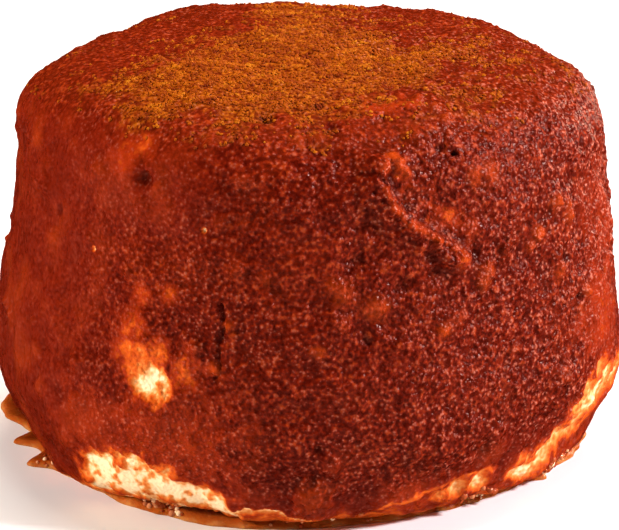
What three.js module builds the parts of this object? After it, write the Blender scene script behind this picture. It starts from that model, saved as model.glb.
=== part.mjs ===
// A ball of fresh cheese in a coat of chilli paste, pressed by hand into a squat round
// block, and the film of oily marinade that has run off it and lies round its foot.
// Millimetres, +Z up. The origin is on the surface that the cheese stands on, under the
// middle of its bounding box, and -Y is the front.
import * as THREE from "three";
import { ImprovedNoise } from "three/addons/math/ImprovedNoise.js";

// Driving dimensions of the cheese, in millimetres.
const crownHeight = 61.5; // middle of the slightly domed top
const rimHeight = 60; // edge of the top, where it starts to round over
const rimRadius = 31;
const shoulderHeight = 50; // below this the side is nearly upright
const shoulderRadius = 43.6;
const bellyHeight = 16; // widest level
const bellyRadius = 47.5;
const footRadius = 31.5; // small flat spot that it rests on
const lean = 2; // how far the top stands to the right of the foot
const leanPivot = 0.6; // share of the height that stays over the middle

// How uneven the hand-pressed surface is: wavelength and height of the swells.
const swells = [
  { across: 24, rise: 1.1 },
  { across: 10, rise: 0.55 },
];
const levelBelow = 9; // swells fade out towards the flat foot below this height

// Single marks left by the hand. turn is in degrees from the front, towards the right.
const handMarks = [
  { turn: -88, out: 43, height: 51.5, across: 4.5, push: 1.5 }, // knob under the left shoulder
  { turn: -78, out: 43, height: 46, across: 4.5, push: -0.9 }, // hollow under that knob
  { turn: -102, out: 39, height: 58, across: 8, push: -1 }, // left shoulder slopes away behind
  { turn: -150, out: 33, height: 59, across: 12, push: 1.3 }, // high back left of the rim
  { turn: 150, out: 33, height: 60, across: 12, push: 0.5 }, // back right of the rim
  { turn: 100, out: 40, height: 57.5, across: 8, push: -1.8 }, // right shoulder is cut off
  { turn: 94, out: 43.5, height: 44, across: 10, push: 0.8 }, // full right side under it
  { turn: 26, out: 35, height: 59, across: 6, push: 0.9 }, // crumbly front edge of the top
];
const facetsAcross = 20; // squares along each edge of the cube that is drawn out round

// The film of marinade.
const filmThickness = 0.8;
const filmGap = 0.3; // clearance to the cheese, under its overhang
const filmSegments = 144;
// How far the film reaches from the middle of the foot: turn in degrees, reach in mm.
const filmReach = [
  [-180, 42.5],
  [-160, 41.5],
  [-140, 43],
  [-122, 45.5],
  [-106, 49],
  [-96, 47.5],
  [-89, 43.2],
  [-85, 42.2],
  [-80.5, 44.8],
  [-76, 41.6],
  [-72.5, 41.2],
  [-68, 44.4],
  [-63, 41.2],
  [-57, 40.6],
  [-47, 40],
  [-38, 40.9],
  [-28, 41],
  [-18, 41.8],
  [-5, 41.2],
  [8, 40.4],
  [22, 39.9],
  [38, 40],
  [50, 40.2],
  [55, 40.4],
  [58.5, 42.4],
  [62, 41.2],
  [70, 42.6],
  [78, 43.4],
  [92, 44.2],
  [110, 43],
  [130, 41.6],
  [155, 42.8],
];

const cheeseFinish = new THREE.MeshStandardMaterial({
  color: "#8c2c14",
  roughness: 0.5,
  metalness: 0,
});
const filmFinish = new THREE.MeshStandardMaterial({
  color: "#9a3a0c",
  roughness: 0.15,
  metalness: 0,
});

// Half of the upright section, from the crown down and in to the middle of the base.
function sectionOutline() {
  const outline = new THREE.Path();
  outline.moveTo(0, crownHeight);
  outline.bezierCurveTo(14, crownHeight, 24, 61, rimRadius, rimHeight);
  outline.bezierCurveTo(38.5, 59, 42.2, 56.5, shoulderRadius, shoulderHeight);
  outline.bezierCurveTo(44.2, 38, bellyRadius, 26, bellyRadius, bellyHeight);
  outline.bezierCurveTo(bellyRadius, 9, 41.5, 0, footRadius, 0);
  outline.lineTo(0, 0);
  return outline;
}

// A place from its turn in degrees from the front, its distance out and its height.
function place(turn, out, height) {
  const angle = THREE.MathUtils.degToRad(turn);
  return new THREE.Vector3(out * Math.sin(angle), -out * Math.cos(angle), height);
}

const unevenness = new ImprovedNoise();

// How far the surface stands proud of the plain section at a point.
function rise(point) {
  let sum = 0;
  for (const { across, rise: height } of swells) {
    const at = point.clone().divideScalar(across);
    sum += height * unevenness.noise(at.x, at.y, at.z);
  }
  for (const { turn, out, height, across, push } of handMarks) {
    const away = point.distanceTo(place(turn, out, height)) / across;
    sum += push * Math.exp(-away * away);
  }
  return sum * THREE.MathUtils.smoothstep(point.z, 0, levelBelow);
}

function leanAt(height) {
  return lean * (height / crownHeight - leanPivot);
}

// A cube's grid is blown up to a ball, and each of its levels is moved to the section.
function cheeseGeometry(outline) {
  const geometry = new THREE.BoxGeometry(2, 2, 2, facetsAcross, facetsAcross, facetsAcross);
  const corners = geometry.getAttribute("position");
  const evenly = (side) => Math.tan((side * Math.PI) / 4);
  const core = new THREE.Vector3(0, 0, crownHeight / 2);
  for (let i = 0; i < corners.count; i++) {
    const onCube = new THREE.Vector3().fromBufferAttribute(corners, i);
    const onBall = new THREE.Vector3(evenly(onCube.x), evenly(onCube.y), evenly(onCube.z));
    onBall.normalize();
    const level = outline.getPoint(Math.acos(onBall.z) / Math.PI);
    const around = Math.atan2(onBall.y, onBall.x);
    const point = new THREE.Vector3(
      level.x * Math.cos(around),
      level.x * Math.sin(around),
      level.y,
    );
    const outwards = point.clone().sub(core).normalize();
    point.addScaledVector(outwards, rise(point));
    point.x += leanAt(point.z);
    corners.setXYZ(i, point.x, point.y, point.z);
  }
  geometry.computeVertexNormals();
  return geometry;
}

// The widest that the section is at or below a height.
function widestBelow(outline, height) {
  const low = outline.getSpacedPoints(400).filter((spot) => spot.y <= height);
  return Math.max(...low.map((spot) => spot.x));
}

// A flat ring: its outer edge runs through the reaches above, its hole clears the cheese.
function filmGeometry(outline) {
  const edge = new THREE.CatmullRomCurve3(
    filmReach.map(([turn, reach]) => place(turn, reach, 0)),
    true,
  );
  const ring = new THREE.Shape(edge.getPoints(filmSegments).slice(0, -1));
  const hole = new THREE.Path();
  hole.absarc(0, 0, widestBelow(outline, filmThickness) + filmGap, 0, 2 * Math.PI, true);
  ring.holes.push(hole);
  const geometry = new THREE.ExtrudeGeometry(ring, {
    depth: filmThickness,
    bevelEnabled: false,
    curveSegments: filmSegments / 2,
  });
  geometry.translate(leanAt(0), 0, 0);
  return geometry;
}

function namedMesh(name, geometry, finish) {
  const mesh = new THREE.Mesh(geometry, finish);
  mesh.name = name;
  return mesh;
}

const outline = sectionOutline();
const ballOfCheese = new THREE.Group();
ballOfCheese.add(
  namedMesh("cheese", cheeseGeometry(outline), cheeseFinish),
  namedMesh("marinade_film", filmGeometry(outline), filmFinish),
);
const middle = new THREE.Box3().setFromObject(ballOfCheese).getCenter(new THREE.Vector3());
ballOfCheese.position.set(-middle.x, -middle.y, 0);

export default ballOfCheese;
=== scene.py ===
import math
from itertools import product

import bmesh
import bpy
import numpy as np
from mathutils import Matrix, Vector
from mathutils.bvhtree import BVHTree


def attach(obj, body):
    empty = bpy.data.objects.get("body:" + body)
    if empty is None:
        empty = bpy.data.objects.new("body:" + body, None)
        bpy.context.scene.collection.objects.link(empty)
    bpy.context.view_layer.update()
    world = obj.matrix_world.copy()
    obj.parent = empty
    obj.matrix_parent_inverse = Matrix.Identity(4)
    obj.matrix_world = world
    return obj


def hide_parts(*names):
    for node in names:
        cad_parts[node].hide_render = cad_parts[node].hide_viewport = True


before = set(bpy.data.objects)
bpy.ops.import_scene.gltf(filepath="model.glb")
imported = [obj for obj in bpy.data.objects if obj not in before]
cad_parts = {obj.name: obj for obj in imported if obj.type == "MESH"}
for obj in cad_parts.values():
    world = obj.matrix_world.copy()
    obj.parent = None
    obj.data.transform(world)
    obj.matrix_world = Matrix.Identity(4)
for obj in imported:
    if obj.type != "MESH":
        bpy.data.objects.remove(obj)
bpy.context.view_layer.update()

mm = 0.001
axisAt = np.array((1.052, -0.083, 0.0))  # upright axis of the cheese in the frame, mm
lean = 2.0  # the top stands this far to the right of the foot, mm
leanPivot = 0.6
crownHeight = 61.5
coreHeight = crownHeight / 2


def linear(hexColour):
    parts = [int(hexColour[i : i + 2], 16) / 255 for i in (1, 3, 5)]
    return tuple(c / 12.92 if c <= 0.04045 else ((c + 0.055) / 1.055) ** 2.4 for c in parts) + (1.0,)


def addNode(tree, kind, settings=None, inputs=None, stops=None):
    made = tree.nodes.new(kind)
    for name, value in (settings or {}).items():
        setattr(made, name, value)
    for name, value in (inputs or {}).items():
        if isinstance(value, bpy.types.NodeSocket):
            tree.links.new(value, made.inputs[name])
        else:
            made.inputs[name].default_value = value
    if stops:
        ramp = made.color_ramp
        while len(ramp.elements) < len(stops):
            ramp.elements.new(1.0)
        for element, (at, colour) in zip(ramp.elements, stops):
            element.position = at
            element.color = linear(colour)
    return made


def startMaterial(name):
    stuff = bpy.data.materials.new(name)
    stuff.use_nodes = True
    return stuff, stuff.node_tree, stuff.node_tree.nodes["Principled BSDF"]


def smoothStep(value, low, high):
    t = np.clip((value - low) / (high - low), 0.0, 1.0)
    return t * t * (3 - 2 * t)


def between(value, low, full, fading, gone):
    # 0 up to low, 1 from full to fading, 0 again from gone
    return smoothStep(value, low, full) * (1 - smoothStep(value, fading, gone))


def hashed(cells, seed):
    h = cells[:, 0] * 73856093 ^ cells[:, 1] * 19349663 ^ cells[:, 2] * 83492791 ^ seed * 2654435
    h = (h ^ (h >> 13)) * 1274126177
    return (h ^ (h >> 16)) & 0xFFFFFF


def gradientNoise(points, seed):
    spins = np.random.default_rng(seed).normal(size=(256, 3))
    spins = (spins / np.linalg.norm(spins, axis=1)[:, None]).astype(np.float32)
    cells = np.floor(points).astype(np.int64)
    local = (points - cells).astype(np.float32)
    fade = local**3 * (local * (local * 6 - 15) + 10)
    total = np.zeros(len(points), np.float32)
    for corner in product((0, 1), repeat=3):
        step = np.array(corner)
        spin = spins[hashed(cells + step, seed) & 255]
        weight = np.prod(np.where(step, fade, 1 - fade), axis=1)
        total += weight * np.einsum("ij,ij->i", spin, local - step.astype(np.float32))
    return total * 1.5


def layeredNoise(points, seed, layers=3):
    return sum(gradientNoise(points * 2.03**i, seed + i) * 0.5**i for i in range(layers))


def cellNoise(points, seed):
    # distance to the nearest and second nearest scattered seed, and a random number of the nearest
    cells = np.floor(points).astype(np.int64)
    local = (points - cells).astype(np.float32)
    nearest = np.full(len(points), 9.0, np.float32)
    second = nearest.copy()
    chosen = np.zeros(len(points), np.float32)
    for corner in product((-1, 0, 1), repeat=3):
        step = np.array(corner)
        h = hashed(cells + step, seed)
        spot = np.stack((h & 255, (h >> 8) & 255, (h >> 16) & 255), axis=1).astype(np.float32) / 255
        away = np.linalg.norm(spot + step.astype(np.float32) - local, axis=1)
        closer = away < nearest
        second = np.where(closer, nearest, np.minimum(second, away))
        chosen = np.where(closer, spot[:, 0], chosen)
        nearest = np.where(closer, away, nearest)
    return nearest, second, chosen


def meshFrom(name, points, faces, material):
    mesh = bpy.data.meshes.new(name)
    mesh.vertices.add(len(points))
    mesh.vertices.foreach_set("co", np.ascontiguousarray(points, np.float32).ravel())
    mesh.loops.add(faces.size)
    mesh.loops.foreach_set("vertex_index", np.ascontiguousarray(faces, np.int32).ravel())
    mesh.polygons.add(len(faces))
    mesh.polygons.foreach_set("loop_start", np.arange(len(faces), dtype=np.int32) * faces.shape[1])
    mesh.update(calc_edges=True)
    mesh.polygons.foreach_set("use_smooth", np.full(len(faces), True))
    mesh.materials.append(material)
    piece = bpy.data.objects.new(name, mesh)
    bpy.context.scene.collection.objects.link(piece)
    return piece


def addField(piece, name, values):
    piece.data.attributes.new(name, "FLOAT", "POINT").data.foreach_set(
        "value", np.ascontiguousarray(values, np.float32)
    )


def leanAt(height):
    return lean * (height / crownHeight - leanPivot)


cameraSettings = {
    "lens": 149.8,  # mm, on the 36 mm sensor
    "from": (0.0, -376.0, 144.0),  # mm from the foot of the upright axis
    "aim": (0.0, 0.0, 26.2),
}


def makeCamera(settings):
    data = bpy.data.cameras.new("camera")
    data.lens = settings["lens"]
    camera = bpy.data.objects.new("camera", data)
    start = Vector((np.array(settings["from"]) + axisAt) * mm)
    aim = Vector((np.array(settings["aim"]) + axisAt) * mm)
    camera.location = start
    camera.rotation_euler = (aim - start).to_track_quat("-Z", "Y").to_euler()
    data.clip_start = 0.01
    bpy.context.scene.collection.objects.link(camera)
    bpy.context.scene.camera = camera


makeCamera(cameraSettings)
print("stage: camera")


studio = {
    "floorSize": 6.0,  # m
    "floorColour": "#f4f3f1",
    "skyColour": "#ffffff",
    "horizonStrength": 0.44,  # a lit backdrop low down, and a dim ceiling
    "ceilingStrength": 0.04,
    "backdropEnds": (0.08, 0.32),  # how high up the sky it fades, as a share
    "belowStrength": 0.15,  # what is left of it under the horizon
    "lightsAim": (0.0, 0.0, 0.03),  # m
    "glinting": ("right", "rim"),  # the only lights that show in the wet coat
    # name, place in m, size in m, power in W, colour
    "lights": [
        ("overhead", (0.10, 0.22, 0.80), (0.50, 0.36), 6.0, "#fff8f0"),
        ("left", (-0.60, -0.16, 0.28), (0.13, 0.13), 5.6, "#fff6ee"),
        ("right", (0.58, -0.14, 0.38), (0.10, 0.10), 8.6, "#fdf4fa"),
        ("rim", (0.50, 0.48, 0.16), (0.16, 0.16), 1.7, "#ffd0b8"),
    ],
}


def makeStudio(settings):
    # Board under matt white paint: it gives back soft light and no reflection.
    board, _, shader = startMaterial("matt painted board")
    shader.inputs["Base Color"].default_value = linear(settings["floorColour"])
    shader.inputs["Roughness"].default_value = 0.9
    shader.inputs["Specular IOR Level"].default_value = 0.2
    half = settings["floorSize"] / 2
    corners = np.array([(-half, -half, 0), (half, -half, 0), (half, half, 0), (-half, half, 0)])
    floor = meshFrom("floor", corners, np.array([[0, 1, 2, 3]]), board)
    floor.visible_glossy = False  # a wet coat would mirror it as a pale veil
    world = bpy.data.worlds.new("studio")
    world.use_nodes = True
    tree = world.node_tree
    way = addNode(tree, "ShaderNodeTexCoord").outputs["Generated"]
    up = addNode(tree, "ShaderNodeSeparateXYZ", inputs={0: way}).outputs["Z"]
    strength = addNode(
        tree,
        "ShaderNodeMapRange",
        {"interpolation_type": "SMOOTHSTEP"},
        {
            0: up,
            1: settings["backdropEnds"][0],
            2: settings["backdropEnds"][1],
            3: settings["horizonStrength"],
            4: settings["ceilingStrength"],
        },
    ).outputs[0]
    above = addNode(
        tree,
        "ShaderNodeMapRange",
        inputs={0: up, 1: -0.05, 2: 0.0, 3: settings["belowStrength"], 4: 1.0},
    ).outputs[0]
    strength = addNode(
        tree, "ShaderNodeMath", {"operation": "MULTIPLY"}, {0: strength, 1: above}
    ).outputs[0]
    background = tree.nodes["Background"]
    background.inputs["Color"].default_value = linear(settings["skyColour"])
    tree.links.new(strength, background.inputs["Strength"])
    world.cycles_visibility.glossy = False
    bpy.context.scene.world = world
    bpy.context.scene.view_settings.view_transform = "Standard"
    for name, place, size, power, colour in settings["lights"]:
        data = bpy.data.lights.new(name, "AREA")
        data.shape = "RECTANGLE"
        data.size, data.size_y = size
        data.energy = power
        data.color = linear(colour)[:3]
        light = bpy.data.objects.new(name, data)
        light.location = place
        towards = Vector(settings["lightsAim"]) - Vector(place)
        light.rotation_euler = towards.to_track_quat("-Z", "Y").to_euler()
        light.visible_glossy = name in settings["glinting"]
        bpy.context.scene.collection.objects.link(light)


makeStudio(studio)
print("stage: floor and lights")


# The cheese and its coat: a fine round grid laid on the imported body, then worked by hand and grain.
cheese = {
    "gridAcross": 320,  # squares along each of the six tiles, about 0.23 mm each
    "gridAcrossQuick": 160,
    "waves": [(13.0, 0.5), (6.0, 0.45), (3.2, 0.26)],  # wavelength and height of the unevenness, mm
    "creases": [(2.3, 0.17), (1.0, 0.11)],  # size and height of the lumps of paste, mm
    "crumbs": [(0.8, 0.2), (1.4, 0.24)],
    "smoothShare": 0.25,  # how much of the grain is left where the coat was smeared smooth
    "slump": 2.0,  # mm, how far the coat has sunk out over the foot
    "slumpHeight": 3.6,
    "slumpWidth": 2.8,
    "bareDip": 0.5,  # mm, how much lower the surface lies where the coat is gone
    "skirt": 0.45,  # how thin the oily coat round the foot is
    "skirtEnds": (2.8, 6.0),  # mm, the heights between which it thickens
    "looseLumps": 130,
    "loosePits": 10,
    "seed": 7,
}

# Places on the side are given as turn, in degrees from the front towards the right, and height in
# mm. Here is where the coat is thin or gone: turn, height, across in mm, how bare.
bareSpots = [
    (-41.0, 5.0, 3.0, 1.1),
    (-38.0, 7.0, 3.6, 1.2),
    (-34.0, 6.0, 4.4, 1.2),
    (-31.0, 7.4, 3.4, 1.15),
    (-27.5, 5.8, 3.8, 1.1),
    (-24.0, 5.8, 3.4, 1.05),
    (-20.5, 5.0, 3.2, 1.1),
    (-17.0, 4.2, 2.8, 1.15),
    (-14.0, 3.6, 2.0, 1.1),
    (-36.0, 2.4, 3.0, 1.0),
    (-30.0, 2.4, 3.2, 1.0),
    (-24.0, 2.2, 3.2, 1.0),
    (-18.5, 1.8, 2.8, 1.0),
    (-27.0, 22.2, 2.9, 1.05),
    (-29.5, 24.6, 2.6, 0.7),
    (-32.0, 26.0, 2.2, 0.52),
    (-26.0, 26.2, 2.0, 0.6),
    (-31.6, 29.5, 2.2, 0.4),
    (-30.5, 34.4, 1.5, 0.34),
    (-25.0, 34.9, 1.3, 0.32),
    (-21.0, 24.6, 2.6, 0.42),
    (-36.0, 53.5, 3.4, 0.27),
    (-33.5, 54.8, 1.2, 0.42),
    (73.0, 14.0, 3.0, 0.85),
    (68.0, 13.2, 3.8, 0.92),
    (63.5, 11.8, 3.8, 0.9),
    (59.5, 10.0, 3.4, 0.86),
    (55.0, 8.2, 2.8, 0.76),
    (50.5, 6.6, 2.8, 0.82),
    (46.5, 5.6, 2.6, 0.92),
    (60.0, 4.5, 6.0, 0.3),
    (22.0, 3.5, 6.0, 0.26),
    (61.0, 14.6, 2.4, 0.76),
    (65.5, 16.6, 2.2, 0.7),
    (66.0, 26.0, 8.0, 0.24),
    (71.0, 38.0, 9.0, 0.2),
    (-24.0, 14.0, 10.0, 0.22),
    (-40.0, 14.0, 7.0, 0.16),
    (-19.0, 44.3, 0.32, 1.1),
    (-43.0, 38.7, 0.3, 1.1),
    (34.0, 6.0, 1.9, 0.85),
    (30.0, 5.7, 1.8, 0.8),
    (26.0, 5.2, 1.4, 0.6),
    (8.0, 3.6, 1.4, 0.6),
    (27.0, 39.6, 1.3, 0.36),
    (-98.0, 9.0, 3.6, 0.95),
    (-106.0, 11.0, 3.2, 0.9),
    (-112.0, 9.0, 2.2, 0.6),
    (-134.0, 6.5, 2.8, 0.85),
    (-160.0, 24.0, 3.0, 0.66),
    (-165.0, 26.0, 2.4, 0.95),
    (-158.0, 30.0, 2.0, 0.5),
    (172.0, 7.0, 3.2, 0.95),
    (166.0, 8.4, 3.6, 1.0),
    (159.0, 9.4, 3.0, 0.95),
    (152.0, 8.0, 2.6, 0.8),
    (118.0, 30.0, 2.6, 0.6),
    (104.0, 8.0, 3.0, 0.95),
    (97.0, 9.4, 2.6, 0.95),
]

# Single lumps and pits: turn, height, across in mm, how far out, and tint (1 orange, -1 painted shade).
handLumps = [
    (14.4, 53.9, 0.8, 1.0, 1.0),
    (15.6, 52.9, 0.9, 1.2, 1.0),
    (16.9, 52.1, 0.7, 0.9, 0.9),
    (13.0, 51.6, 0.9, -0.8, -0.6),
    (34.0, 50.8, 1.7, 0.2, 0.6),
    (31.0, 50.6, 1.3, 0.2, 0.6),
    (27.0, 53.9, 0.36, -1.5, -1.0),
    (25.0, 54.6, 0.7, -0.2, 0.0),
    (-32.0, 50.5, 1.4, -0.6, -0.7),
    (-32.6, 52.3, 0.9, -0.4, -0.5),
    (-31.2, 50.1, 0.8, -0.5, -0.4),
    (57.3, 29.3, 0.55, -1.2, -0.7),
    (59.2, 29.8, 0.8, 0.9, 0.8),
    (57.0, 27.8, 0.9, 0.5, 0.5),
    (-13.6, 31.4, 0.8, 0.9, 1.0),
    (-12.8, 30.2, 0.7, 0.8, 1.0),
    (-15.8, 25.2, 0.8, 0.7, 0.9),
    (-10.4, 58.6, 0.9, -1.1, -0.6),
    (-13.0, 58.6, 0.9, -0.6, -0.2),
    (26.2, 59.0, 0.7, 0.9, 0.5),
    (27.2, 57.8, 0.6, 0.6, 0.5),
    (24.4, 59.8, 0.6, 0.6, 0.3),
    (50.2, 44.6, 1.1, 0.7, 0.8),
    (54.0, 41.8, 1.0, 0.7, 0.9),
    (53.4, 43.6, 0.8, 0.5, 0.7),
    (45.3, 40.8, 1.0, 0.6, 0.9),
    (43.4, 39.2, 0.8, 0.5, 0.6),
    (51.0, 34.4, 1.2, 0.6, 0.5),
    (53.0, 36.2, 1.0, -0.6, -0.3),
    (36.8, 54.9, 1.6, 0.5, 0.0),
    (11.0, 33.9, 1.7, 0.4, 0.45),
    (12.8, 34.4, 1.0, 0.3, 0.5),
    (5.3, 36.5, 1.7, 0.4, 0.35),
    (4.0, 37.6, 1.1, 0.3, 0.35),
    (2.1, 28.3, 0.9, 0.3, 0.8),
    (23.7, 30.0, 0.8, 0.5, 0.9),
    (20.3, 23.5, 1.3, 0.4, 0.0),
    (7.5, 40.4, 1.8, -0.6, -0.25),
    (9.6, 31.4, 1.4, -0.5, -0.25),
    (9.9, 29.8, 0.8, -0.5, -0.4),
    (15.7, 36.9, 1.2, -0.6, -0.3),
    (30.2, 39.9, 0.8, -0.5, -0.3),
    (26.2, 41.0, 0.7, -0.4, -0.2),
    (33.0, 37.4, 1.1, 0.6, 0.6),
    (31.6, 36.0, 1.0, 0.6, 0.7),
    (36.7, 39.4, 1.5, 0.6, 0.1),
    (-55.0, 42.0, 0.8, -0.3, -0.3),
    (-62.0, 45.3, 3.0, 0.6, 0.0),
    (-53.2, 17.1, 1.6, 0.5, 0.45),
    (-55.8, 21.7, 1.2, 0.3, 0.4),
    (-2.8, 56.4, 1.3, 0.5, 0.35),
    (0.8, 56.6, 1.0, 0.5, 0.3),
    (-3.6, 57.8, 1.3, 0.7, 0.2),
    (3.4, 57.5, 1.0, -0.7, -0.5),
    (1.6, 6.6, 2.9, 1.3, 0.35),
    (-121.0, 60.0, 3.0, -0.3, 0.0),
    (57.0, 52.0, 4.0, 0.6, 0.0),
    (74.0, 47.0, 4.0, -0.5, 0.0),
    (77.0, 35.0, 5.0, 0.5, 0.0),
]

# Seams: a torn edge, a crack, the ledges of the coat. Each is a path of places, with its own section.
seams = [
    {
        "path": [
            (14.2, 54.8),
            (12.6, 52.2),
            (12.6, 50.0),
            (14.4, 47.8),
            (17.6, 45.2),
            (21.4, 43.2),
            (26.0, 41.0),
            (30.5, 38.6),
        ],
        "high": 1.6,  # mm
        "left": 2.4,  # how far the welt reaches to each side of the path, mm
        "right": 0.8,
        "recess": 0.4,  # how much lower the surface lies on its right, mm
        "thin": 0.0,
    },
    {
        "path": [(-15.3, 35.2), (-14.6, 33.0), (-14.2, 31.0), (-15.2, 28.4), (-15.0, 25.6), (-15.6, 22.6)],
        "high": -0.65,
        "left": 0.3,
        "right": 0.3,
        "recess": 0.0,
        "thin": 0.0,
    },
    {
        "path": [(5.5, 58.9), (10.0, 59.3), (15.0, 59.0), (20.0, 59.5), (25.5, 59.0)],
        "high": 0.6,
        "left": 0.55,
        "right": 0.55,
        "recess": 0.0,
        "thin": 0.25,
    },
    {
        "path": [(-15.0, 4.0), (-11.0, 4.7), (-7.5, 5.1), (-4.5, 4.6), (-2.0, 3.9), (1.5, 3.3), (4.5, 4.4)],
        "high": 0.25,
        "left": 0.4,
        "right": 0.4,
        "recess": 0.0,
        "thin": 0.85,
    },
    {
        "path": [(12.0, 4.6), (20.0, 5.6), (27.0, 7.0), (34.0, 7.6), (40.0, 7.0)],
        "high": 0.2,
        "left": 0.35,
        "right": 0.35,
        "recess": 0.0,
        "thin": 0.5,
    },
    {
        "path": [(140.0, 52.0), (143.0, 48.0), (148.0, 45.0), (150.0, 40.0), (156.0, 36.5)],
        "high": 0.9,
        "left": 2.2,
        "right": 0.8,
        "recess": 0.4,
        "thin": 0.0,
    },
    {
        "path": [(-118.0, 40.0), (-116.5, 35.0), (-118.0, 30.0), (-116.0, 25.0)],
        "high": -0.8,
        "left": 0.35,
        "right": 0.35,
        "recess": 0.0,
        "thin": 0.0,
    },
]

# Where ground spice lies on the top: mm to the right, mm back, radius, how much.
dustSpots = [
    (-7.0, -19.0, 21.0, 1.0),
    (5.0, -14.0, 20.0, 0.9),
    (-17.0, -27.0, 8.0, 0.7),
    (-5.0, -31.0, 8.0, 0.6),
    (-2.0, 4.0, 17.0, 0.95),
    (-2.0, 23.0, 11.0, 1.0),
    (-20.0, -22.0, 12.0, 0.7),
    (18.0, -8.0, 15.0, 0.4),
    (22.0, -26.0, 9.0, 0.3),
    (33.0, -10.0, 8.0, 0.2),
    (-18.0, 14.0, 13.0, -0.5),
    (-32.0, -4.0, 10.0, -0.2),
]


def packedSurface():
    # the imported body, rounded off between its facets, as something that rays can hit
    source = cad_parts["cheese"].data.copy()
    rounded = bpy.data.objects.new("rounded", source)
    bpy.context.scene.collection.objects.link(rounded)
    weld = rounded.modifiers.new("weld", "WELD")
    weld.merge_threshold = 0.01 * mm
    rounding = rounded.modifiers.new("rounding", "SUBSURF")
    rounding.levels = 2
    tree = BVHTree.FromObject(rounded, bpy.context.evaluated_depsgraph_get())
    bpy.data.objects.remove(rounded)
    bpy.data.meshes.remove(source)
    return tree


def tileGrid(across):
    # six square tiles welded into one ball: corner directions, squares, and each square's place
    # in an atlas
    span = across + 1
    u, v = np.meshgrid(np.arange(span), np.arange(span), indexing="ij")
    tiles = []
    for axis in range(3):
        for side in (0, across):
            spot = np.empty((span, span, 3), np.int64)
            spot[..., axis] = side
            spot[..., (axis + 1) % 3] = u if side else v
            spot[..., (axis + 2) % 3] = v if side else u
            tiles.append(spot)
    lattice = np.stack(tiles).reshape(-1, 3)
    keys = (lattice[:, 0] * span + lattice[:, 1]) * span + lattice[:, 2]
    _, first, index = np.unique(keys, return_index=True, return_inverse=True)
    index = index.reshape(6, span, span)
    squares = np.stack(
        (index[:, :-1, :-1], index[:, 1:, :-1], index[:, 1:, 1:], index[:, :-1, 1:]), axis=-1
    ).reshape(-1, 4)
    directions = np.tan((lattice[first] / across * 2 - 1) * math.pi / 4)
    directions /= np.linalg.norm(directions, axis=1)[:, None]
    margin = 0.012  # left free round each tile
    size = np.array([1 / 3, 1 / 2])
    share = np.stack((u, v), axis=-1) / across
    corners = []
    for tile in range(6):
        spots = size * (np.array([tile % 3, tile // 3]) + margin + share * (1 - 2 * margin))
        square = (spots[:-1, :-1], spots[1:, :-1], spots[1:, 1:], spots[:-1, 1:])
        corners.append(np.stack(square, axis=2))
    return directions, squares, np.stack(corners).reshape(-1, 2)


def normalsOf(points, squares):
    cross = np.cross(
        points[squares[:, 2]] - points[squares[:, 0]], points[squares[:, 3]] - points[squares[:, 1]]
    )
    total = np.zeros_like(points)
    for axis in range(3):
        for corner in range(4):
            total[:, axis] += np.bincount(squares[:, corner], cross[:, axis], len(points))
    return total / np.linalg.norm(total, axis=1)[:, None]


def blurred(values, squares, rounds):
    # average over neighbouring corners, again and again
    count = np.bincount(squares.ravel(), minlength=len(values))
    for _ in range(rounds):
        middle = values[squares].mean(axis=1)
        values = np.bincount(squares.ravel(), np.repeat(middle, 4), len(values)) / count
    return values


packed = packedSurface()


def wallSpot(turn, height):
    angle = math.radians(turn)
    start = Vector(((leanAt(height) + axisAt[0]) * mm, axisAt[1] * mm, height * mm))
    hit = packed.ray_cast(start, Vector((math.sin(angle), -math.cos(angle), 0)))[0]
    return np.array(hit) / mm


def alongPath(points, path):
    # distance to a line through places, the share of the line passed, and the way off to its right
    best = np.full(len(points), 1e9)
    along = np.zeros(len(points))
    side = np.zeros(len(points))
    lengths = [np.linalg.norm(b - a) for a, b in zip(path, path[1:])]
    done = 0.0
    for a, b, length in zip(path, path[1:], lengths):
        run = (b - a) / length
        t = np.clip((points - a) @ run, 0, length)
        off = points - a - t[:, None] * run
        away = np.linalg.norm(off, axis=1)
        out = (a + b) / 2 * np.array((1, 1, 0))
        right = np.cross(out / np.linalg.norm(out), run)
        closer = away < best
        along = np.where(closer, (done + t) / sum(lengths), along)
        side = np.where(closer, off @ right, side)
        best = np.minimum(best, away)
        done += length
    return best, along, side


def layGrid(settings):
    across = settings["gridAcross"]
    directions, squares, atlas = tileGrid(across)
    core = Vector((axisAt[0] * mm, axisAt[1] * mm, coreHeight * mm))
    reach = np.array([packed.ray_cast(core, Vector(way))[3] for way in directions])
    return (np.array(core) + directions * reach[:, None]) / mm, squares, atlas


def creased(points, across, seed):
    # rounded lumps of uneven size and the creases between them, about -0.4 in a crease to 0.6
    pulled = points / across
    pulled = pulled + 0.6 * np.stack([gradientNoise(pulled * 0.7, seed + i) for i in range(3)], axis=1)
    return np.abs(gradientNoise(pulled, seed + 5)) * 1.6 - 0.4


def looseCrumbs(points, across, seed):
    # single crumbs of paste, each in its own place, on some of the surface
    near, second, chosen = cellNoise(points / across, seed)
    return smoothStep(second - near, 0.05, 0.6) * smoothStep(chosen, 0.5, 0.9) * (1 - 0.6 * near)


def looseMarks(settings):
    # lumps and pits scattered all round, besides the listed ones
    chance = np.random.default_rng(settings["seed"])
    marks = []
    for i in range(settings["looseLumps"] + settings["loosePits"]):
        turn, height = chance.uniform(-180, 180), chance.uniform(11, 57)
        across, push = chance.uniform(0.6, 1.5), chance.uniform(0.25, 0.65)
        tintAndPaintedLight = chance.uniform(0, 0.25)
        # a pit gets a dark tint: painted shade
        if i >= settings["looseLumps"]:
            across, push, tintAndPaintedLight = across * 0.6, -push, -0.3
        marks.append((turn, height, across, push, tintAndPaintedLight))
    return marks


def leftSide(turn):
    return smoothStep(-turn, 24, 56) * smoothStep(turn, -175, -150)


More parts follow.
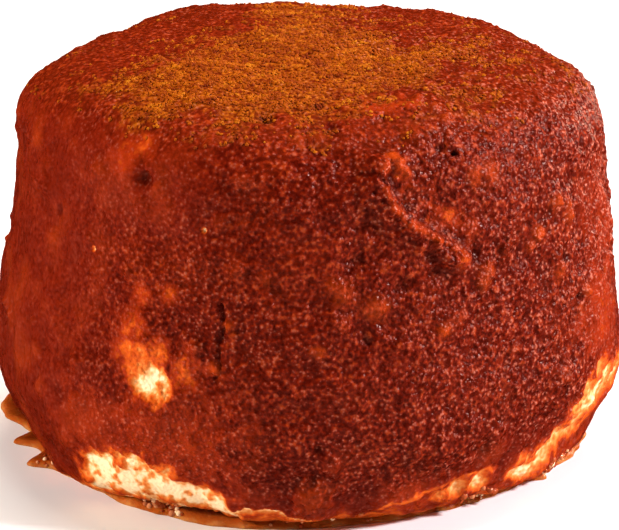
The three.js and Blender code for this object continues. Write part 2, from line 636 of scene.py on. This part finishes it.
def smearOver(turn, height, patchy, upright):
    # where the coat was smeared smooth by a hand or by its own oil
    left = leftSide(turn)
    upperLeft = smoothStep(height, 36, 48) * smoothStep(-turn, 4, 30)
    lowBand = 1 - smoothStep(height + 3 * patchy - 5 * smoothStep(turn, 20, 45), 5, 11)
    farRight = between(turn, 56, 66, 84, 100) * (1 - smoothStep(height, 22, 34))
    behind = smoothStep(np.abs(turn), 95, 120) * smoothStep(patchy, -0.1, 0.25)
    smear = np.maximum.reduce([left, upperLeft * 0.8, lowBand, farRight * 0.85, behind * 0.8])
    return np.clip(smear * upright + 0.25 * patchy * upright, 0, 1)


def bareOver(points, height, ragged, settings):
    # how far the coat is gone: 0 is full, 1 is bare cheese
    bare = np.zeros(len(points))
    for turn, spotHeight, wide, amount in bareSpots:
        away = np.linalg.norm(points - wallSpot(turn, spotHeight), axis=1) / wide
        bare = np.maximum(bare, amount * (1 - smoothStep(away + 0.6 * ragged, 0.1, 1.9)))
    stains = np.maximum(layeredNoise(points / 1.7, 27, 3), -0.1)  # paste left on the bare cheese
    bare = np.clip(bare, 0, 1.12) * (1 - 0.55 * np.clip(stains, 0, 0.6))
    skirt = (1 - smoothStep(height + 1.3 * ragged, *settings["skirtEnds"])) * settings["skirt"]
    return np.maximum(bare, skirt)


def swellsOver(points, turn, height, smear, settings):
    # the hand-pressed unevenness, and upright streaks where the coat has run
    rise = np.zeros(len(points))
    for i, (across, high) in enumerate(settings["waves"]):
        rise += high * gradientNoise(points / across, 31 + i)
    streaks = gradientNoise(points / np.array((1.5, 1.5, 9.0)), 37)
    lowRight = between(turn, 8, 25, 60, 75) * (1 - smoothStep(height, 12, 20))
    return rise + 0.3 * streaks * np.maximum(lowRight, 0.35 * smear)


def pressMarks(points, ragged, crumbly, settings):
    # the height and tint that single lumps and pits give: orange on a lump, painted shade in a pit
    rise = np.zeros(len(points))
    tintAndPaintedLight = np.zeros(len(points))
    for turn, height, wide, push, shade in handLumps + looseMarks(settings):
        away = np.linalg.norm(points - wallSpot(turn, height), axis=1) / wide
        away = np.maximum(away + 0.5 * ragged + 0.4 * crumbly, 0)
        mark = np.exp(-(away**2) * (1.1 if push > 0 else 0.9))
        rise += push * mark
        tintAndPaintedLight = np.where(np.abs(shade * mark) > np.abs(tintAndPaintedLight), shade * mark, tintAndPaintedLight)
    return rise, tintAndPaintedLight


def workSeams(points, ragged, crumbly, tintAndPaintedLight, bare):
    # raises or cuts along each seam and gives its bareness to the coat; along a torn edge it lightens the
    # crest as a painted highlight
    rise = np.zeros(len(points))
    paintedCrestGlints = np.zeros(len(points))
    for seam in seams:
        path = [wallSpot(*spot) for spot in seam["path"]]
        away, along, side = alongPath(points, path)
        wobble = side + 0.35 * ragged + 0.3 * crumbly
        ends = between(along, 0.0, 0.1, 0.85, 1.0)
        close = 1 - smoothStep(away, 2.5, 4.5)
        wide = np.where(wobble < 0, seam["left"], seam["right"])
        broken = np.clip(0.85 + 0.7 * ragged, 0.35, 1.3)
        rise += seam["high"] * broken * ends * np.exp(-((wobble / wide) ** 2)) * close
        # along a torn edge the crest is lightened with orange and thin-coat colour and given a painted
        # glint: a painted highlight
        if seam["recess"]:  # a torn edge: a frayed orange crest, and thinner paste beyond it
            frayed = np.clip(0.55 + 0.8 * ragged + 0.8 * crumbly, 0, 0.8)
            paintedCrestLight = np.exp(-(((wobble - 0.2) / 0.6) ** 2)) * ends * close * frayed
            tintAndPaintedLight = np.where(0.6 * paintedCrestLight > np.abs(tintAndPaintedLight), 0.6 * paintedCrestLight, tintAndPaintedLight)
            paintedCrestGlints = np.maximum(paintedCrestGlints, paintedCrestLight)
            bare = np.maximum(bare, 0.25 * paintedCrestLight)
            beyond = smoothStep(side, 0.6, 1.8) * (1 - smoothStep(away, 3.5, 8.0)) * ends
            rise -= seam["recess"] * beyond
            bare = np.maximum(bare, 0.22 * beyond * (0.6 + 1.5 * ragged))
        if seam["thin"]:
            line = np.exp(-((wobble / 0.45) ** 2))
            bare = np.maximum(bare, seam["thin"] * ends * line * close)
    return rise, tintAndPaintedLight, bare, paintedCrestGlints


def grainOver(points, right, smear, coat, upright, settings):
    # lumps and crumbs of paste: bolder on the right, fainter where it is smeared or thin
    grain = np.zeros(len(points))
    for i, (across, high) in enumerate(settings["creases"]):
        grain += high * (1 + 0.8 * right) * creased(points, across, 41 + 10 * i)
    for i, (across, high) in enumerate(settings["crumbs"]):
        grain += high * looseCrumbs(points, across, 81 + 10 * i)
    rough = 1 - (1 - settings["smoothShare"]) * smear
    rough *= 0.25 + 0.75 * smoothStep(coat, 0.1, 0.8)
    rough *= 0.85 + 0.15 * upright
    return grain * rough


def slumpOver(turn, height, settings):
    # how far the soft coat has sunk out over the foot, on the front and the right
    level = (height - settings["slumpHeight"]) / settings["slumpWidth"]
    slump = between(turn, -80, -55, 100, 120) * smoothStep(height, 0.0, 1.2)
    return slump * settings["slump"] * np.exp(-(level**2))


def paintedGlintOver(turn, height, right, patchy, paintedCrestGlints, coat, smear):
    # how much pale painted highlight the granule tops get: most on the right, where the key light falls,
    # and on the torn edge
    lowFront = (1 - smoothStep(height, 15, 28)) * between(turn, -75, -40, 50, 80)
    paintedGlint = 0.2 + 0.3 * right + 0.08 * lowFront - 0.1 * leftSide(turn) + 0.25 * patchy + paintedCrestGlints
    paintedGlint += 0.1 * between(turn, 48, 66, 95, 125)
    paintedGlint = np.clip(paintedGlint, 0.08, 0.9) * (1 - 0.8 * smoothStep(1 - coat, 0.2, 0.7))
    return paintedGlint * (1 - 0.5 * smear)


def shapeCheese(settings):
    points, squares, atlas = layGrid(settings)
    height = points[:, 2].copy()
    off = points - axisAt
    off[:, 0] -= leanAt(height)
    turn = np.degrees(np.arctan2(off[:, 0], -off[:, 1]))
    right = between(turn, 10, 45, 95, 125)
    normals = normalsOf(points, squares)
    upright = 1 - smoothStep(normals[:, 2], 0.45, 0.85)  # 1 on the side, 0 on the top
    clear = smoothStep(height, 0.0, 3.0)  # nothing moves at the flat foot
    patchy = layeredNoise(points / 16, 11, 2)
    ragged = layeredNoise(points / 2.4, 21, 4)
    crumbly = gradientNoise(points / 0.7, 29)

    smear = smearOver(turn, height, patchy, upright)
    bare = bareOver(points, height, ragged, settings)
    marks, tintAndPaintedLight = pressMarks(points, ragged, crumbly, settings)
    welts, tintAndPaintedLight, bare, paintedCrestGlints = workSeams(points, ragged, crumbly, tintAndPaintedLight, bare)
    mottling = layeredNoise(points / 8, 23, 3) * (0.25 + 0.75 * smear) * upright
    tintAndPaintedLight = tintAndPaintedLight + 0.3 * mottling + 0.12 * (1 - upright)
    coat = 1 - np.clip(bare, 0, 1)  # 1 is full, 0 is bare cheese

    rise = swellsOver(points, turn, height, smear, settings) + marks + welts
    rise -= settings["bareDip"] * smoothStep(1 - coat, 0.3, 0.8)
    rise += grainOver(points, right, smear, coat, upright, settings)
    rise = rise * clear + slumpOver(turn, height, settings) * (1 + 0.5 * patchy)
    points = points + normals * rise[:, None]
    points[:, 2] = np.maximum(points[:, 2], 0)
    # hollows and creases found here darken the paste's colour: painted shade
    wide, narrow = ((24, 5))
    hollow = blurred(rise, squares, wide) - blurred(rise, squares, narrow)
    fields = {
        "paintedGlint": paintedGlintOver(turn, height, right, patchy, paintedCrestGlints, coat, smear),
        "smear": smear,
        "coat": coat,
        "tintAndPaintedLight": tintAndPaintedLight,
        "paintedCreviceShade": np.clip(0.5 + hollow * (1.9 + 1.2 * right), 0, 1),  # 0.5 is level, 1 is deep
        "dust": dustOver(points, upright),
    }
    return points, squares, atlas, fields


def dustOver(points, upright):
    flat = points[:, :2] - axisAt[:2]
    amount = np.zeros(len(points))
    for x, y, wide, share in dustSpots:
        away = np.linalg.norm(flat - np.array((x, y)), axis=1) / wide
        amount += share * np.exp(-(away**2) * 1.6)
    patchy = layeredNoise(points / 6, 51, 4) + 0.7 * gradientNoise(points / 1.6, 57)
    onTop = 1 - smoothStep(upright, 0.25, 0.9)
    return np.clip(amount * 0.85 - 0.12 + patchy * 0.6, 0, 1) * onTop


def coatMaterial():
    # Chilli and paprika paste in oil, spread by hand over fresh cheese: wet brown-red grains that glint,
    # partly by real gloss and partly by a pale painted highlight on their tops, with painted shade
    # between them, orange where the coat is thin, and cream where the cheese shows.
    # Granules of ground chilli are 0.55 mm, crumbs of paste 1.2 mm, and blotches of oil 6 mm.
    stuff, tree, shader = startMaterial("chilli paste spread on fresh cheese")
    place = addNode(tree, "ShaderNodeTexCoord").outputs["Object"]
    coat, paintedCreviceShade, smear, dust, tintAndPaintedLight, paintedGlint = (
        addNode(tree, "ShaderNodeAttribute", {"attribute_name": name}).outputs["Fac"]
        for name in ("coat", "paintedCreviceShade", "smear", "dust", "tintAndPaintedLight", "paintedGlint")
    )
    blotch, crumb, grain = (
        addNode(
            tree,
            "ShaderNodeTexNoise",
            inputs={"Vector": place, "Scale": 1 / (size * mm), "Detail": detail, "Roughness": 0.6},
        ).outputs["Fac"]
        for size, detail in ((6.0, 4.0), (1.2, 1.0), (0.6, 0.6))
    )
    mixes = {"data_type": "RGBA"}
    levels = addNode(tree, "ShaderNodeCombineXYZ", inputs={0: blotch, 1: crumb, 2: grain}).outputs[0]
    toned, relief, wisps = (
        addNode(tree, "ShaderNodeVectorMath", {"operation": "DOT_PRODUCT"}, {0: levels, 1: shares})
        .outputs["Value"]
        for shares in ((0.22, 0.5, 0.68), (0.0, 0.3, 0.45), (0.2, 0.5, 0.35))
    )
    granule = addNode(
        tree, "ShaderNodeTexVoronoi", inputs={"Vector": place, "Scale": 1 / (0.55 * mm)}
    ).outputs["Distance"]
    grains = addNode(
        tree, "ShaderNodeMath", {"operation": "MULTIPLY_ADD"}, {0: granule, 1: -0.55, 2: relief}
    ).outputs[0]

    # the paste, with painted shade darkening it between its granules and in its hollows
    calm = addNode(
        tree, "ShaderNodeMapRange", inputs={0: smear, 1: 0.0, 2: 1.0, 3: 0.0, 4: 0.8}
    ).outputs[0]
    toned = addNode(tree, "ShaderNodeMix", inputs={0: calm, 2: toned, 3: 0.75}).outputs[0]
    paste = addNode(
        tree,
        "ShaderNodeValToRGB",
        inputs={0: toned},
        stops=[(0.46, "#430902"), (0.62, "#590f03"), (0.78, "#711906"), (0.92, "#902e0c")],
    ).outputs[0]
    rub = addNode(
        tree, "ShaderNodeMapRange", inputs={0: smear, 1: 0.0, 2: 1.0, 3: 0.6, 4: 0.25}
    ).outputs[0]
    # painted shade between the granules: the paste darkens towards #450902 where the bump is low
    paintedGapShade = addNode(
        tree, "ShaderNodeMapRange", inputs={0: grains, 1: 0.1, 2: -0.06, 3: 0.0, 4: rub}
    ).outputs[0]
    paste = addNode(tree, "ShaderNodeMix", mixes, {0: paintedGapShade, 6: paste, 7: linear("#450902")}).outputs[2]
    # painted shade in the hollows and creases: the paste darkens towards #340602
    creviceShadeAmount = addNode(
        tree, "ShaderNodeMapRange", inputs={0: paintedCreviceShade, 1: 0.5, 2: 0.95, 3: 0.0, 4: 0.75}
    ).outputs[0]
    paste = addNode(tree, "ShaderNodeMix", mixes, {0: creviceShadeAmount, 6: paste, 7: linear("#340602")}).outputs[2]

    # orange and then cream where the coat is thin or gone
    wisp = addNode(
        tree, "ShaderNodeMath", {"operation": "MULTIPLY_ADD"}, {0: wisps, 1: 0.7, 2: coat}
    ).outputs[0]
    thin = addNode(
        tree,
        "ShaderNodeValToRGB",
        inputs={0: addNode(tree, "ShaderNodeMath", inputs={0: wisp, 1: -0.37}).outputs[0]},
        stops=[
            (0.02, "#fddfae"),
            (0.15, "#f4b87a"),
            (0.28, "#e2873f"),
            (0.48, "#cf5716"),
            (0.74, "#9e2c09"),
        ],
    ).outputs[0]
    full = addNode(tree, "ShaderNodeMapRange", inputs={0: coat, 1: 0.62, 2: 0.95}).outputs[0]
    colour = addNode(tree, "ShaderNodeMix", mixes, {0: full, 6: thin, 7: paste}).outputs[2]

    # lumps of orange paste, pits darkened with painted shade, ochre spice rubbed in, and painted highlights
    # on the granule tops
    # the orange is the paste's own colour on lumps and a painted highlight on a torn edge's crest; #300501
    # is painted shade in the pits
    for side, share, shade in ((1.0, 0.65, "#c2440f"), (-1.0, 0.85, "#300501")):
        amount = addNode(
            tree, "ShaderNodeMapRange", inputs={0: tintAndPaintedLight, 1: 0.0, 2: side, 3: 0.0, 4: share}
        ).outputs[0]
        colour = addNode(tree, "ShaderNodeMix", mixes, {0: amount, 6: colour, 7: linear(shade)}).outputs[2]
    # the ochre is lighter on the tops of the bump relief and darker in its lows: partly the powder's own
    # tone, partly painted shade
    ochre = addNode(
        tree,
        "ShaderNodeValToRGB",
        inputs={0: relief},
        stops=[(0.27, "#601c03"), (0.37, "#853804"), (0.48, "#a35309")],
    ).outputs[0]
    dusted = addNode(tree, "ShaderNodeMapRange", inputs={0: dust, 1: 0.2, 2: 1.05}).outputs[0]
    colour = addNode(tree, "ShaderNodeMix", mixes, {0: dusted, 6: colour, 7: ochre}).outputs[2]
    # painted highlights: a pale pinkish colour on the granule tops, strongest on the right where the key
    # light falls
    paintedHighlight = addNode(
        tree, "ShaderNodeMapRange", inputs={0: grains, 1: 0.2, 2: 0.36, 3: 0.0, 4: paintedGlint}
    ).outputs[0]
    colour = addNode(tree, "ShaderNodeMix", mixes, {0: paintedHighlight, 6: colour, 7: linear("#bc705a")}).outputs[2]
    tree.links.new(colour, shader.inputs["Base Color"])

    bump = addNode(
        tree, "ShaderNodeBump", inputs={"Height": grains, "Distance": 0.55 * mm, "Strength": rub}
    ).outputs[0]
    tree.links.new(bump, shader.inputs["Normal"])
    gloss = addNode(
        tree, "ShaderNodeMapRange", inputs={0: crumb, 1: 0.35, 2: 0.65, 3: 0.26, 4: 0.42}
    ).outputs[0]
    gloss = addNode(
        tree, "ShaderNodeMath", {"operation": "MULTIPLY_ADD"}, {0: dust, 1: 0.4, 2: gloss}
    ).outputs[0]
    tree.links.new(gloss, shader.inputs["Roughness"])
    shader.inputs["IOR"].default_value = 1.4
    shader.inputs["Specular IOR Level"].default_value = 0.16
    shader.inputs["Specular Tint"].default_value = linear("#ffd2bd")
    return stuff


def makeCheese(settings):
    points, squares, atlas, fields = shapeCheese(settings)
    body = meshFrom("coated_cheese", points * mm, squares, coatMaterial())
    for name, values in fields.items():
        addField(body, name, values)
    body.data.uv_layers.new(name="OFBake").data.foreach_set("uv", atlas.astype(np.float32).ravel())
    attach(body, "root")
    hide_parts("cheese")
    return points, squares, fields


surface, squares, fields = makeCheese(cheese)
print("stage: coated cheese")


# Ground spice dusted over the top.
spiceDust = {
    "granules": 9000,
    "size": (0.34, 0.8),  # mm across, a little coarser than real so that single granules show
    "sunk": 0.47,  # share of a granule that is in the paste
    "seed": 12,
}


def spiceMaterial():
    # Turmeric, cumin and dried chilli ground to a powder: matt, and each granule has its own shade.
    stuff, tree, shader = startMaterial("ground turmeric and chilli")
    tone = addNode(tree, "ShaderNodeAttribute", {"attribute_name": "tone"}).outputs["Fac"]
    colour = addNode(
        tree,
        "ShaderNodeValToRGB",
        inputs={0: tone},
        stops=[
            (0.0, "#6a2205"),
            (0.3, "#813304"),
            (0.6, "#994606"),
            (0.85, "#aa5909"),
            (1.0, "#b46914"),
        ],
    ).outputs[0]
    tree.links.new(colour, shader.inputs["Base Color"])
    shader.inputs["Roughness"].default_value = 0.75
    shader.inputs["Specular IOR Level"].default_value = 0.1
    return stuff


def scatter(chance, weights, count):
    # picks squares of the body in proportion to weight, and a place in each
    corners = surface[squares]
    crossed = np.cross(corners[:, 2] - corners[:, 0], corners[:, 3] - corners[:, 1])
    area = np.linalg.norm(crossed, axis=1)
    share = np.cumsum(area * weights[squares].mean(axis=1))
    chosen = np.searchsorted(share, chance.uniform(0, share[-1], count))
    u, v = chance.uniform(0, 1, (2, count, 1))
    spots = corners[chosen]
    away = crossed[chosen]
    near = spots[:, 0] * (1 - u) + spots[:, 1] * u
    far = spots[:, 3] * (1 - u) + spots[:, 2] * u
    places = near * (1 - v) + far * v
    return places, away / np.linalg.norm(away, axis=1)[:, None]


def randomTurns(chance, count):
    q = chance.normal(size=(count, 4))
    w, x, y, z = (q / np.linalg.norm(q, axis=1)[:, None]).T
    return np.stack(
        (
            np.stack((1 - 2 * (y * y + z * z), 2 * (x * y - z * w), 2 * (x * z + y * w)), axis=1),
            np.stack((2 * (x * y + z * w), 1 - 2 * (x * x + z * z), 2 * (y * z - x * w)), axis=1),
            np.stack((2 * (x * z - y * w), 2 * (y * z + x * w), 1 - 2 * (x * x + y * y)), axis=1),
        ),
        axis=1,
    )


def gridAtlas(piece, count, corners):
    # every granule takes one small cell of the map
    across = math.ceil(math.sqrt(count))
    number = np.arange(count)
    cell = np.stack((number % across, number // across), axis=1)[:, None, :]
    ring = np.array([(0.2, 0.2), (0.8, 0.2), (0.5, 0.8)])
    spots = (cell + ring[np.arange(corners) % 3][None]) / across
    piece.data.uv_layers.new(name="OFBake").data.foreach_set("uv", spots.astype(np.float32).ravel())


def makeDust(settings):
    chance = np.random.default_rng(settings["seed"])
    count = settings["granules"]
    clumped = np.clip(0.55 + 1.1 * layeredNoise(surface / 1.9, 73, 2), 0.08, 1.5)
    places, away = scatter(chance, fields["dust"] ** 1.4 * clumped, count)
    grain = np.array([(1, 0, 0), (-1, 0, 0), (0, 1, 0), (0, -1, 0), (0, 0, 1), (0, 0, -1)], float)
    upper = [(0, 2, 4), (2, 1, 4), (1, 3, 4), (3, 0, 4)]
    sides = np.array(upper + [(b, a, 5) for a, b, _ in upper])
    size = chance.uniform(*settings["size"], count) / 2
    shape = grain[None] * chance.uniform(0.6, 1.25, (count, 6, 1))
    spun = np.einsum("nij,nkj->nki", randomTurns(chance, count), shape) * size[:, None, None]
    lift = (1 - 2 * settings["sunk"]) * size
    points = places[:, None] + spun + (away * lift[:, None])[:, None]
    faces = (np.arange(count)[:, None, None] * 6 + sides[None]).reshape(-1, 3)
    dust = meshFrom("spice_dusting", points.reshape(-1, 3) * mm, faces, spiceMaterial())
    tone = np.clip(chance.normal(0.5, 0.12, count) + 0.5 * layeredNoise(places / 2.6, 71, 3), 0, 1)
    addField(dust, "tone", np.repeat(tone, 6))
    gridAtlas(dust, count, 24)
    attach(dust, "root")


makeDust(spiceDust)
print("stage: spice dusting")


# Oil and whey that have run off and lie round the foot.
marinade = {
    "around": 900,
    "rings": 30,
    "innerRadius": 36.0,  # mm, under the overhang of the cheese
    "edgeHeight": 0.7,  # mm, rounded edge of the film
    "edgeWidth": 1.1,
    "climb": 1.8,  # mm, how far it creeps up the cheese
    "climbWidth": 2.0,
    "ripple": 0.35,  # mm, how uneven its edge is
    "fullDepth": 3.0,  # mm in from the edge, where it is at its deepest
    # creamy stretches: turn, width, how creamy
    "whey": [(-58.0, 6.0, 0.35), (35.0, 11.0, 0.8), (52.0, 5.0, 0.4)],
}


def oilMaterial():
    # Chilli oil and whey, run off and left to lie: orange-brown, redder where it is thick, creamy
    # where whey has gathered, with a wet gloss broken by dimples. The clouds in it are 3 mm across
    # and the dimples 0.9 mm.
    stuff, tree, shader = startMaterial("chilli oil and whey")
    depth = addNode(tree, "ShaderNodeAttribute", {"attribute_name": "depth"}).outputs["Fac"]
    place = addNode(tree, "ShaderNodeTexCoord").outputs["Object"]
    cloud = addNode(
        tree, "ShaderNodeTexNoise", inputs={"Vector": place, "Scale": 1 / (3.0 * mm), "Detail": 4.0}
    ).outputs["Fac"]
    mixedDepth = addNode(
        tree, "ShaderNodeMath", {"operation": "MULTIPLY_ADD"}, {0: cloud, 1: 0.7, 2: depth}
    ).outputs[0]
    colour = addNode(
        tree,
        "ShaderNodeValToRGB",
        inputs={0: mixedDepth},
        stops=[(0.25, "#c07a40"), (0.42, "#a24e18"), (0.66, "#8c3c0f"), (1.0, "#6e2809")],
    ).outputs[0]
    whey = addNode(tree, "ShaderNodeAttribute", {"attribute_name": "whey"}).outputs["Fac"]
    milky = addNode(
        tree,
        "ShaderNodeValToRGB",
        inputs={0: whey},
        stops=[(0.1, "#9a440c"), (0.35, "#c8702a"), (0.6, "#e6a25c"), (0.9, "#f6cf98")],
    ).outputs[0]
    share = addNode(tree, "ShaderNodeMapRange", inputs={0: whey, 1: 0.05, 2: 0.35}).outputs[0]
    colour = addNode(
        tree, "ShaderNodeMix", {"data_type": "RGBA"}, {0: share, 6: colour, 7: milky}
    ).outputs[2]
    tree.links.new(colour, shader.inputs["Base Color"])
    dimples = addNode(
        tree, "ShaderNodeTexNoise", inputs={"Vector": place, "Scale": 1 / (0.9 * mm), "Detail": 2.0}
    ).outputs["Fac"]
    bump = addNode(
        tree, "ShaderNodeBump", inputs={"Height": dimples, "Distance": 0.5 * mm, "Strength": 0.6}
    ).outputs[0]
    tree.links.new(bump, shader.inputs["Normal"])
    shader.inputs["Roughness"].default_value = 0.22
    shader.inputs["Specular IOR Level"].default_value = 0.25
    shader.inputs["IOR"].default_value = 1.45
    shader.inputs["Subsurface Weight"].default_value = 0.5
    shader.inputs["Subsurface Radius"].default_value = (1.5 * mm, 0.5 * mm, 0.1 * mm)
    shader.inputs["Subsurface Scale"].default_value = 1.0
    return stuff


def filmReach(settings):
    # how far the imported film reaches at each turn
    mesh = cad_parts["marinade_film"].data
    corners = np.empty(len(mesh.vertices) * 3, np.float32)
    mesh.vertices.foreach_get("co", corners)
    flat = corners.reshape(-1, 3)[:, :2] / mm - axisAt[:2] - np.array((leanAt(0), 0))
    out = np.linalg.norm(flat, axis=1)
    outer = out > (out.min() + 0.8)
    angle = np.arctan2(flat[outer, 1], flat[outer, 0])
    order = np.argsort(angle)
    angle, out = angle[order], out[outer][order]
    around = np.arange(settings["around"]) / settings["around"] * 2 * math.pi - math.pi
    return around, np.interp(around, angle, out, period=2 * math.pi)


def makeFilm(settings):
    # gives back the points of the upper side, in mm
    angle, reach = filmReach(settings)
    rings = settings["rings"]
    inner = settings["innerRadius"]
    share = 1 - (1 - np.arange(rings) / (rings - 1)) ** 2  # rings crowd towards the outer edge
    way = np.stack((np.cos(angle), np.sin(angle)), axis=1)
    ripple = gradientNoise(np.column_stack((way * 30, np.zeros(len(way)))) / 1.7, 61)
    reach = reach + settings["ripple"] * ripple
    radius = inner + (reach - inner)[:, None] * share[None]
    toEdge = np.clip((reach[:, None] - radius) / settings["edgeWidth"], 0, 1)
    high = settings["edgeHeight"] * np.sqrt(1 - (1 - toEdge) ** 2)
    high += settings["climb"] * np.exp(-(radius - inner - 1.6) / settings["climbWidth"]) * toEdge
    flat = radius[..., None] * way[:, None]
    wave = gradientNoise(np.dstack((flat, high)).reshape(-1, 3) / 3.0, 62).reshape(high.shape)
    high = np.maximum(high * (1 + 0.2 * wave), 0.03)
    centre = axisAt[:2] + np.array((leanAt(0), 0))
    top = np.dstack((flat + centre, high))
    under = np.dstack((flat + centre, np.full(high.shape, 0.02)))
    points = np.concatenate((top.reshape(-1, 3), under.reshape(-1, 3)))
    a = np.arange(settings["around"])[:, None] * rings + np.arange(rings - 1)[None]
    b = (np.roll(np.arange(settings["around"]), -1)[:, None]) * rings + np.arange(rings - 1)[None]
    upper = np.stack((a, a + 1, b + 1, b), axis=-1).reshape(-1, 4)
    shift = settings["around"] * rings
    lower = upper[:, ::-1] + shift
    rim = np.stack((a[:, -1] + 1, a[:, -1] + 1 + shift, b[:, -1] + 1 + shift, b[:, -1] + 1), axis=-1)
    well = np.stack((a[:, 0], b[:, 0], b[:, 0] + shift, a[:, 0] + shift), axis=-1)
    film = meshFrom(
        "marinade_pool", points * mm, np.concatenate((upper, lower, rim, well)), oilMaterial()
    )
    fromEdge = reach[:, None] - radius
    depth = np.clip(fromEdge / settings["fullDepth"], 0, 1) * 0.7
    turn = np.degrees(np.arctan2(way[:, 0], -way[:, 1]))[:, None]
    mottle = layeredNoise(np.dstack((flat, high)).reshape(-1, 3) / 2.2, 63, 4).reshape(high.shape)
    whey = np.zeros(high.shape)
    for middle, wide, share in settings["whey"]:
        whey = np.maximum(whey, share * np.exp(-(((turn - middle) / wide) ** 4)))
    whey = whey * smoothStep(fromEdge + 0.8 * mottle, 0.7, 1.9)
    whey = np.clip(whey * (1 - 1.2 * np.maximum(mottle, 0)), 0, 1)
    addField(film, "depth", np.concatenate((depth.ravel(), depth.ravel())))
    addField(film, "whey", np.concatenate((whey.ravel(), whey.ravel())))
    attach(film, "root")
    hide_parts("marinade_film")
    return top.reshape(-1, 3)


pool = makeFilm(marinade)
print("stage: marinade")

# Bubbles of oil and whey that cling round the foot.
froth = {
    # turn, distance out and height in mm, how far they spread, how many, across in mm
    "clusters": [
        (-31.0, 40.3, 1.0, 2.4, 26, (0.5, 1.5)),
        (-26.0, 40.8, 0.8, 1.6, 12, (0.4, 1.1)),
        (56.0, 42.5, 3.6, 2.0, 22, (0.5, 1.4)),
        (61.0, 43.5, 3.4, 1.6, 12, (0.4, 1.0)),
        (36.0, 40.0, 1.2, 5.0, 26, (0.4, 1.2)),
        (8.0, 40.4, 1.2, 5.0, 9, (0.4, 0.9)),
        (-4.0, 40.6, 1.2, 4.0, 7, (0.4, 0.9)),
        (-68.0, 42.0, 0.8, 3.0, 10, (0.4, 0.9)),
        (120.0, 41.0, 0.8, 4.0, 14, (0.4, 1.1)),
        (-140.0, 41.0, 0.8, 4.0, 14, (0.4, 1.1)),
    ],
    "clearOfAxis": 38.5,  # mm, so that none sits under the overhang
    "sunk": 0.45,  # how high a bubble's middle lies above the table, as a share of its size
    "seed": 19,
}


def frothMaterial():
    # Oil and whey beaten up as it ran off: small bubbles, from brown-orange to cream, that shine.
    stuff, tree, shader = startMaterial("froth of oil and whey")
    tone = addNode(tree, "ShaderNodeAttribute", {"attribute_name": "tone"}).outputs["Fac"]
    colour = addNode(
        tree,
        "ShaderNodeValToRGB",
        inputs={0: tone},
        stops=[(0.0, "#8f3410"), (0.4, "#a8502a"), (0.7, "#cf8a5c"), (1.0, "#f0cfa4")],
    ).outputs[0]
    tree.links.new(colour, shader.inputs["Base Color"])
    shader.inputs["Roughness"].default_value = 0.12
    shader.inputs["IOR"].default_value = 1.45
    return stuff


def makeFroth(settings):
    chance = np.random.default_rng(settings["seed"])
    ball = bmesh.new()
    bmesh.ops.create_icosphere(ball, subdivisions=2, radius=0.5)
    shape = np.array([corner.co for corner in ball.verts])
    sides = np.array([[corner.index for corner in side.verts] for side in ball.faces])
    ball.free()
    wet = np.concatenate((surface, pool))
    middles, sizes, tones = [], [], []
    for turn, out, height, spread, count, across in settings["clusters"]:
        angle = math.radians(turn)
        spot = (out * math.sin(angle) + leanAt(0), -out * math.cos(angle), height)
        spot = axisAt + np.array(spot)
        near = wet[np.linalg.norm(wet - spot, axis=1) < spread]
        fromAxis = np.hypot(*(near[:, :2] - axisAt[:2]).T)
        near = near[(near[:, 2] > 0.3) & (fromAxis > settings["clearOfAxis"])]
        middles.append(near[chance.integers(0, len(near), count)])
        sizes.append(across[0] + (across[1] - across[0]) * chance.uniform(0, 1, count) ** 2)
        tones.append(chance.uniform(0.1, 1.0, count))
    middles, sizes, tones = np.concatenate(middles), np.concatenate(sizes), np.concatenate(tones)
    middles[:, 2] = np.maximum(middles[:, 2], sizes * settings["sunk"])
    points = middles[:, None] + shape[None] * sizes[:, None, None]
    faces = (np.arange(len(sizes))[:, None, None] * len(shape) + sides[None]).reshape(-1, 3)
    bubbles = meshFrom("marinade_bubbles", points.reshape(-1, 3) * mm, faces, frothMaterial())
    addField(bubbles, "tone", np.repeat(tones, len(shape)))
    gridAtlas(bubbles, len(sizes), sides.size)
    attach(bubbles, "root")


makeFroth(froth)
print("stage: froth")
